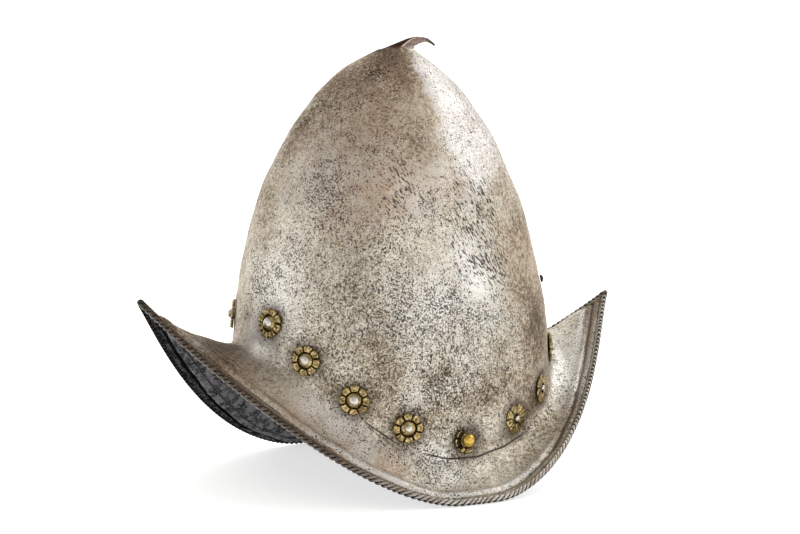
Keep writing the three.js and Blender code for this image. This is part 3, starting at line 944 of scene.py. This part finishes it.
def steel_material():
    look = Looks("forged_steel")
    above_crease = look.attribute("above_crease")
    at = look.coordinates()
    inside = look.attribute("inside_edge")
    under = look.attribute("under")
    tarnish = look.attribute("tarnish")
    patches = look.noise(at, 45, 6, 0.62, 0.5)
    blotch = look.noise(at, 150, 4, 0.6)
    speck = look.noise(at, 1300, 2, 0.6)
    pocks = look.noise(at, 760, 3, 0.7)
    glint = look.noise(at, 900, 2, 0.6)
    slanted = look.noise(look.stretched(at, streak_direction, 0.3), 820, 2, 0.6)
    amount = look.plus(look.minus(look.attribute("pitting"), 0.5), look.span(blotch, 0.32, 0.68, -0.2, 0.2))
    mixed = look.plus(look.times(pocks, 0.6), look.times(speck, 0.4))
    mixed = look.blend(look.attribute("streaks"), mixed, slanted)
    pit_value = look.plus(mixed, look.times(amount, 0.13))
    pits = look.span(pit_value, 0.535, 0.58)
    specks = look.span(look.plus(speck, look.times(amount, 0.12)), 0.5, 0.62)
    bright = (0.8, 0.756, 0.66)
    tan = (0.49, 0.403, 0.288)
    peach = (0.58, 0.4, 0.28)
    brown = (0.17, 0.12, 0.08)
    dark = (0.055, 0.046, 0.038)
    grain = look.noise(at, 430, 4, 0.7)
    cover = look.plus(tarnish, look.span(patches, 0.3, 0.7, -0.2, 0.2))
    cover = look.plus(cover, look.span(grain, 0.36, 0.64, -0.28, 0.28))
    look.colour = look.mix(look.span(cover, 0.15, 0.85, 0.0, 0.85), bright, tan)
    look.paint(look.times(look.span(cover, 0.75, 1.15), 0.8), brown)
    look.paint(look.times(look.span(cover, 1.15, 1.5), 0.8), dark)
    look.paint(look.times(look.attribute("rust"), look.span(blotch, 0.35, 0.6, 0.4, 1.0)), peach)
    band = look.line(inside, 6.6, 1.6, 3.0, 0.45)
    look.paint(look.times(band, look.span(patches, 0.3, 0.6, 0.5, 1.0)), brown)
    turn_away = look.math("ABSOLUTE", look.attribute("around"))
    half_width = look.span(turn_away, 1.85, 2.3, 3.4, 1.6)
    off_middle = look.math("ABSOLUTE", look.minus(inside, 12.9))
    rear_band = look.times(
        look.line(inside, 9.8, 2.6, 4.2, 0.75),
        look.span(turn_away, 1.8, 2.3),
        look.span(patches, 0.3, 0.55, 0.5, 1.0),
    )
    look.paint(rear_band, (0.26, 0.19, 0.135))
    # Painted highlight: pale line along the brim near the rear tips
    tip_highlight = look.times(look.line(inside, 15.6, 0.9, 2.2, 0.9), look.span(turn_away, 2.5, 2.75))
    look.paint(tip_highlight, (0.92, 0.9, 0.87))
    # Painted highlight: pale line along the crest of the brim's raised ridge, where it catches the light
    shoulder_highlight = look.times(
        look.span(look.math("DIVIDE", off_middle, half_width), 0.4, 1.0, 0.95, 0.0),
        look.span(turn_away, 0.8, 1.1),
        look.span(turn_away, 1.9, 2.2, 1.0, 0.1),
        look.span(blotch, 0.4, 0.5),
        look.span(tarnish, 0.6, 0.9, 1.0, 0.0),
    )
    look.paint(shoulder_highlight, (0.9, 0.88, 0.84))
    # Painted highlight: pale cool colour on the rear flank, where the lamps behind and to the right are
    # reflected
    look.paint(look.times(look.attribute("painted_side_highlight"), 0.55), (0.8, 0.785, 0.8))
    look.paint(look.times(look.attribute("cool"), 0.4, clamp=True), (0.33, 0.335, 0.345))
    # Painted highlight: near-white spots where the lamps' reflections fall
    sheen = look.times(look.attribute("sheen"), look.span(blotch, 0.3, 0.5, 0.6, 1.0), clamp=True)
    look.paint(sheen, (0.98, 0.955, 0.905))
    look.paint(look.times(look.attribute("on_stem"), 0.8), (0.36, 0.27, 0.235))
    look.paint(look.times(above_crease, 0.9), (0.07, 0.036, 0.023))
    look.paint(look.span(look.attribute("crease"), 0.3, 0.9, 0.0, 0.85), (0.85, 0.7, 0.62))
    scratch_place = look.plus(look.times(inside, 0.6), look.times(patches, 7.0))
    scratch = look.line_noise(scratch_place)
    scratched = look.times(look.span(tarnish, 0.6, 1.0), look.span(inside, 30.0, 120.0, 1.0, 0.0))
    look.paint(look.times(scratched, look.span(scratch, 0.55, 0.66), 0.7), dark)
    look.paint(look.times(scratched, look.span(pocks, 0.5, 0.6), 0.5), brown)
    look.paint(look.times(scratched, look.span(scratch, 0.42, 0.3), 0.25), tan)
    # Painted glints: near-white flecks, fewer where the tarnish is heavy
    painted_glints = look.times(look.span(glint, 0.56, 0.64), look.span(amount, -0.35, 0.2, 0.15, 0.7))
    look.paint(look.times(painted_glints, look.span(cover, 0.6, 1.1, 1.0, 0.1)), (0.9, 0.89, 0.86))
    look.paint(look.times(specks, 0.3), brown)
    look.paint(look.times(pits, 0.88), dark)
    # Dark brown halo round the rosettes: partly grime, partly painted shade
    halo = look.times(look.attribute("halo_dirt_and_shade"), look.span(pocks, 0.35, 0.6, 0.6, 1.0), clamp=True)
    look.paint(halo, (0.06, 0.038, 0.024))
    groove = look.line(inside, 9.5, 0.2, 0.9, 0.65)
    look.paint(look.times(groove, look.span(blotch, 0.3, 0.55, 0.5, 1.0)), dark)
    seam = look.line(inside, 4.4, 0.1, 0.6, 0.8)
    look.paint(seam, dark)
    look.paint(look.span(look.attribute("fold"), 0.12, 0.5, 0.0, 0.85), dark)
    under_colour = look.mix(look.span(blotch, 0.42, 0.58), (0.035, 0.035, 0.036), (0.19, 0.185, 0.192))
    # Painted glints: pale flecks on the dark underside
    under_colour = look.mix(look.span(pocks, 0.52, 0.6, 0.0, 0.6), under_colour, (0.3, 0.3, 0.31))
    rim_dark = look.times(look.span(inside, 5.0, 9.5, 0.9, 0.0), look.span(pocks, 0.4, 0.56, 1.0, 0.45))
    under_colour = look.mix(rim_dark, under_colour, (0.004, 0.004, 0.004))
    broken = look.span(blotch, 0.35, 0.6, 0.15, 1.0)
    trough = look.line(inside, 7.6, 0.7, 1.5, 0.95)
    under_colour = look.mix(trough, under_colour, (0.006, 0.006, 0.006))
    # The pale lines at 9.9 and 17.0 are painted highlights on the underside's ridges; the line at 14.2 is
    # dark
    for place, near, far, most, shade in (
        (9.9, 0.1, 0.6, 0.6, (0.36, 0.36, 0.37)),
        (14.2, 0.3, 1.1, 0.7, (0.008, 0.008, 0.008)),
        (17.0, 0.1, 0.7, 0.7, (0.2, 0.2, 0.21)),
    ):
        line = look.times(look.line(inside, place, near, far, most), broken)
        under_colour = look.mix(line, under_colour, shade)
    look.paint(under, under_colour)
    rough = look.plus(look.span(cover, 0.1, 0.9, 0.34, 0.5), look.times(specks, 0.08))
    rough = look.plus(rough, look.times(pits, 0.12), True)
    height = look.minus(look.times(glint, 0.9), look.times(specks, 0.4))
    height = look.minus(height, look.times(pits, 0.9))
    height = look.plus(height, look.times(look.times(blotch, under), 5.0))
    normal = look.bump(height, 0.00026, 0.9)
    dull = look.plus(under, look.times(above_crease, 0.8), True)
    edge = look.mix(dull, (0.72, 0.7, 0.68), (0.13, 0.13, 0.135))
    look.surface(Base_Color=look.colour, Metallic=1.0, Roughness=rough, Specular_Tint=edge, Normal=normal)
    return look.material


def rope_material():
    look = Looks("roped_steel")
    at = look.coordinates()
    crevice = look.attribute("crevice")
    under = look.attribute("under")
    at_front = look.attribute("at_front")
    patches = look.noise(at, 60, 4, 0.6)
    fine = look.noise(at, 800, 3, 0.6)
    look.colour = look.mix(look.span(patches, 0.35, 0.68), (0.6, 0.57, 0.52), (0.38, 0.31, 0.24))
    look.paint(look.times(look.attribute("at_rear"), 0.4), (0.78, 0.76, 0.71))
    look.paint(look.span(fine, 0.5, 0.68, 0.0, 0.6), (0.12, 0.09, 0.07))
    front_colour = look.mix(look.span(fine, 0.46, 0.56), (0.05, 0.036, 0.028), (0.2, 0.14, 0.1))
    look.paint(look.times(at_front, 0.92), front_colour)
    under_colour = look.mix(look.span(fine, 0.45, 0.6), (0.012, 0.012, 0.012), (0.07, 0.068, 0.068))
    look.paint(look.times(under, 0.92), under_colour)
    look.paint(look.span(crevice, 0.12, 0.45), (0.012, 0.01, 0.009))
    look.paint(look.times(look.attribute("at_tip"), 0.9), (0.03, 0.026, 0.024))
    # Painted highlight along the rope's lower outer edge
    look.paint(look.times(look.attribute("painted_rim_highlight"), 0.9), (0.85, 0.83, 0.8))
    normal = look.bump(fine, 0.0002, 0.6)
    edge = look.mix(under, (0.72, 0.7, 0.68), (0.1, 0.1, 0.1))
    look.surface(Base_Color=look.colour, Metallic=1.0, Roughness=0.4, Specular_Tint=edge, Normal=normal)
    return look.material


def brass_material():
    look = Looks("gilt_brass")
    at = look.coordinates()
    crevice = look.attribute("crevice")
    patches = look.noise(at, 170, 4, 0.6)
    fine = look.noise(at, 750, 3, 0.6)
    look.colour = look.mix(look.span(patches, 0.35, 0.65), (0.54, 0.41, 0.165), (0.22, 0.16, 0.065))
    look.paint(look.span(fine, 0.5, 0.62, 0.0, 0.6), (0.17, 0.1, 0.04))
    # Painted highlights: pale gold flecks on the brass
    look.paint(look.span(fine, 0.46, 0.38, 0.0, 0.5), (0.93, 0.8, 0.5))
    dirt = look.plus(crevice, look.span(fine, 0.35, 0.65, -0.14, 0.14), True)
    look.paint(look.span(dirt, 0.25, 0.7), (0.04, 0.027, 0.015))
    rough = look.span(dirt, 0.2, 0.8, 0.24, 0.6)
    normal = look.bump(fine, 0.0002, 0.5)
    look.surface(Base_Color=look.colour, Metallic=1.0, Roughness=rough, Normal=normal)
    return look.material


def rivet_material(name, light, worn, roughness):
    look = Looks(name)
    at = look.coordinates()
    patches = look.noise(at, 240, 2, 0.5)
    look.colour = look.mix(look.span(patches, 0.4, 0.7), light, worn)
    look.surface(Base_Color=look.colour, Metallic=1.0, Roughness=roughness)
    return look.material


steel = steel_material()
roped = rope_material()
brass = brass_material()
gilt_ball = rivet_material("gilt_ball", (0.85, 0.6, 0.15), (0.6, 0.38, 0.08), 0.3)
rivet_steel = rivet_material("rivet_steel", (0.74, 0.7, 0.63), (0.5, 0.43, 0.34), 0.3)
dark_steel = rivet_material("dark_rivet_steel", (0.05, 0.045, 0.04), (0.03, 0.026, 0.022), 0.5)


def dress(made, material, node):
    made.data.materials.append(material)
    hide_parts(node)
    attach(made, "root")


dress(shell, steel, "skull_and_brim")
dress(rope, roped, "skull_and_brim")
for number in range(1, rosette_count + 1):
    dress(rosettes[number - 1], brass, f"rosette_{number}")
    ball = number == broken_number
    dress(rivets[number - 1], gilt_ball if ball else rivet_steel,
          f"rivet_{number}")
dress(rear_rivet, dark_steel, "rear_rivet")

for name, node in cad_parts.items():
    node.data.materials.clear()
    node.data.materials.append(brass if name.startswith("rosette") else steel)

# Camera
camera_azimuth = math.radians(63.27)
camera_elevation = math.radians(5.33)
camera_roll = math.radians(-0.52)
camera_distance = 1.337
camera_right = 5.512 * MM
camera_up = 135.375 * MM
camera_lens = 90.63

back = Vector((
    math.sin(camera_azimuth) * math.cos(camera_elevation),
    -math.cos(camera_azimuth) * math.cos(camera_elevation),
    math.sin(camera_elevation),
))
right = Vector((math.cos(camera_azimuth), math.sin(camera_azimuth), 0))
up = back.cross(right)
right_rolled = right * math.cos(camera_roll) + up * math.sin(camera_roll)
up_rolled = up * math.cos(camera_roll) - right * math.sin(camera_roll)
camera_data = bpy.data.cameras.new("camera")
camera_data.lens = camera_lens
camera_data.sensor_width = 36
camera_data.dof.use_dof = False
camera = bpy.data.objects.new("camera", camera_data)
place = back * camera_distance + right_rolled * camera_right + up_rolled * camera_up
place.y += forward_shift * MM
turned = Matrix((right_rolled, up_rolled, back)).transposed().to_4x4()
camera.matrix_world = Matrix.Translation(place) @ turned
bpy.context.scene.collection.objects.link(camera)
bpy.context.scene.camera = camera

# Floor and backdrop
floor_length = 1.3
floor_half_width = 4.0
floor_bend = 0.8
wall_height = 3.5


def build_sweep():
    """Floor that curves up into a wall behind the helmet."""
    away = Vector((-back.x, -back.y, 0)).normalized()
    steps = 16
    profile = [(-3.0, 0.0)]
    for k in range(steps + 1):
        a = math.pi / 2 * k / steps
        profile.append((floor_length + floor_bend * math.sin(a), floor_bend * (1 - math.cos(a))))
    profile.append((floor_length + floor_bend, wall_height))
    points = []
    for along, z in profile:
        for x in (-floor_half_width, floor_half_width):
            p = away * along + right * x
            points.append((p.x, p.y, z))
    faces = [(2 * k, 2 * k + 1, 2 * k + 3, 2 * k + 2) for k in range(len(profile) - 1)]
    mesh = bpy.data.meshes.new("floor")
    mesh.from_pydata(points, [], faces)
    mesh.polygons.foreach_set("use_smooth", [True] * len(faces))
    made = bpy.data.objects.new("floor", mesh)
    bpy.context.scene.collection.objects.link(made)
    look = Looks("floor")
    white = (1, 1, 1, 1)
    pale = (0.88, 0.88, 0.88, 1)
    look.surface(Base_Color=pale, Roughness=0.9, Emission_Color=white, Emission_Strength=0.62)
    made.data.materials.append(look.material)
    return made


floor = build_sweep()

# Lights


def soft_box(name, azimuth, elevation, distance, width, height, power):
    """Area light aimed at the helmet; azimuth is measured from the camera towards the picture's right."""
    a = camera_azimuth + math.radians(azimuth)
    e = math.radians(elevation)
    toward = Vector((math.sin(a) * math.cos(e), -math.cos(a) * math.cos(e), math.sin(e)))
    light = bpy.data.lights.new(name, "AREA")
    light.shape = "RECTANGLE"
    light.size = width
    light.size_y = height
    light.energy = power
    made = bpy.data.objects.new(name, light)
    made.location = Vector((0, 0, 0.14)) + toward * distance
    made.rotation_mode = "QUATERNION"
    made.rotation_quaternion = toward.to_track_quat("Z", "Y")
    made.visible_camera = False
    bpy.context.scene.collection.objects.link(made)


soft_box("light_behind_right", 115, 38, 1.6, 1.25, 0.75, 5.0)
soft_box("light_right", 55, 16, 1.7, 2.2, 0.95, 4.2)
soft_box("light_left", -70, 13, 1.7, 2.2, 0.7, 3.4)
soft_box("light_front", 20, 14, 2.0, 1.5, 0.9, 1.3)

world = bpy.data.worlds.new("studio")
world.use_nodes = True
background = world.node_tree.nodes["Background"]
background.inputs["Color"].default_value = (1.0, 0.97, 0.93, 1)
background.inputs["Strength"].default_value = 0.52
bpy.context.scene.world = world
view = bpy.context.scene.view_settings
view.view_transform = "Standard"
view.look = "None"
view.exposure = 0.0
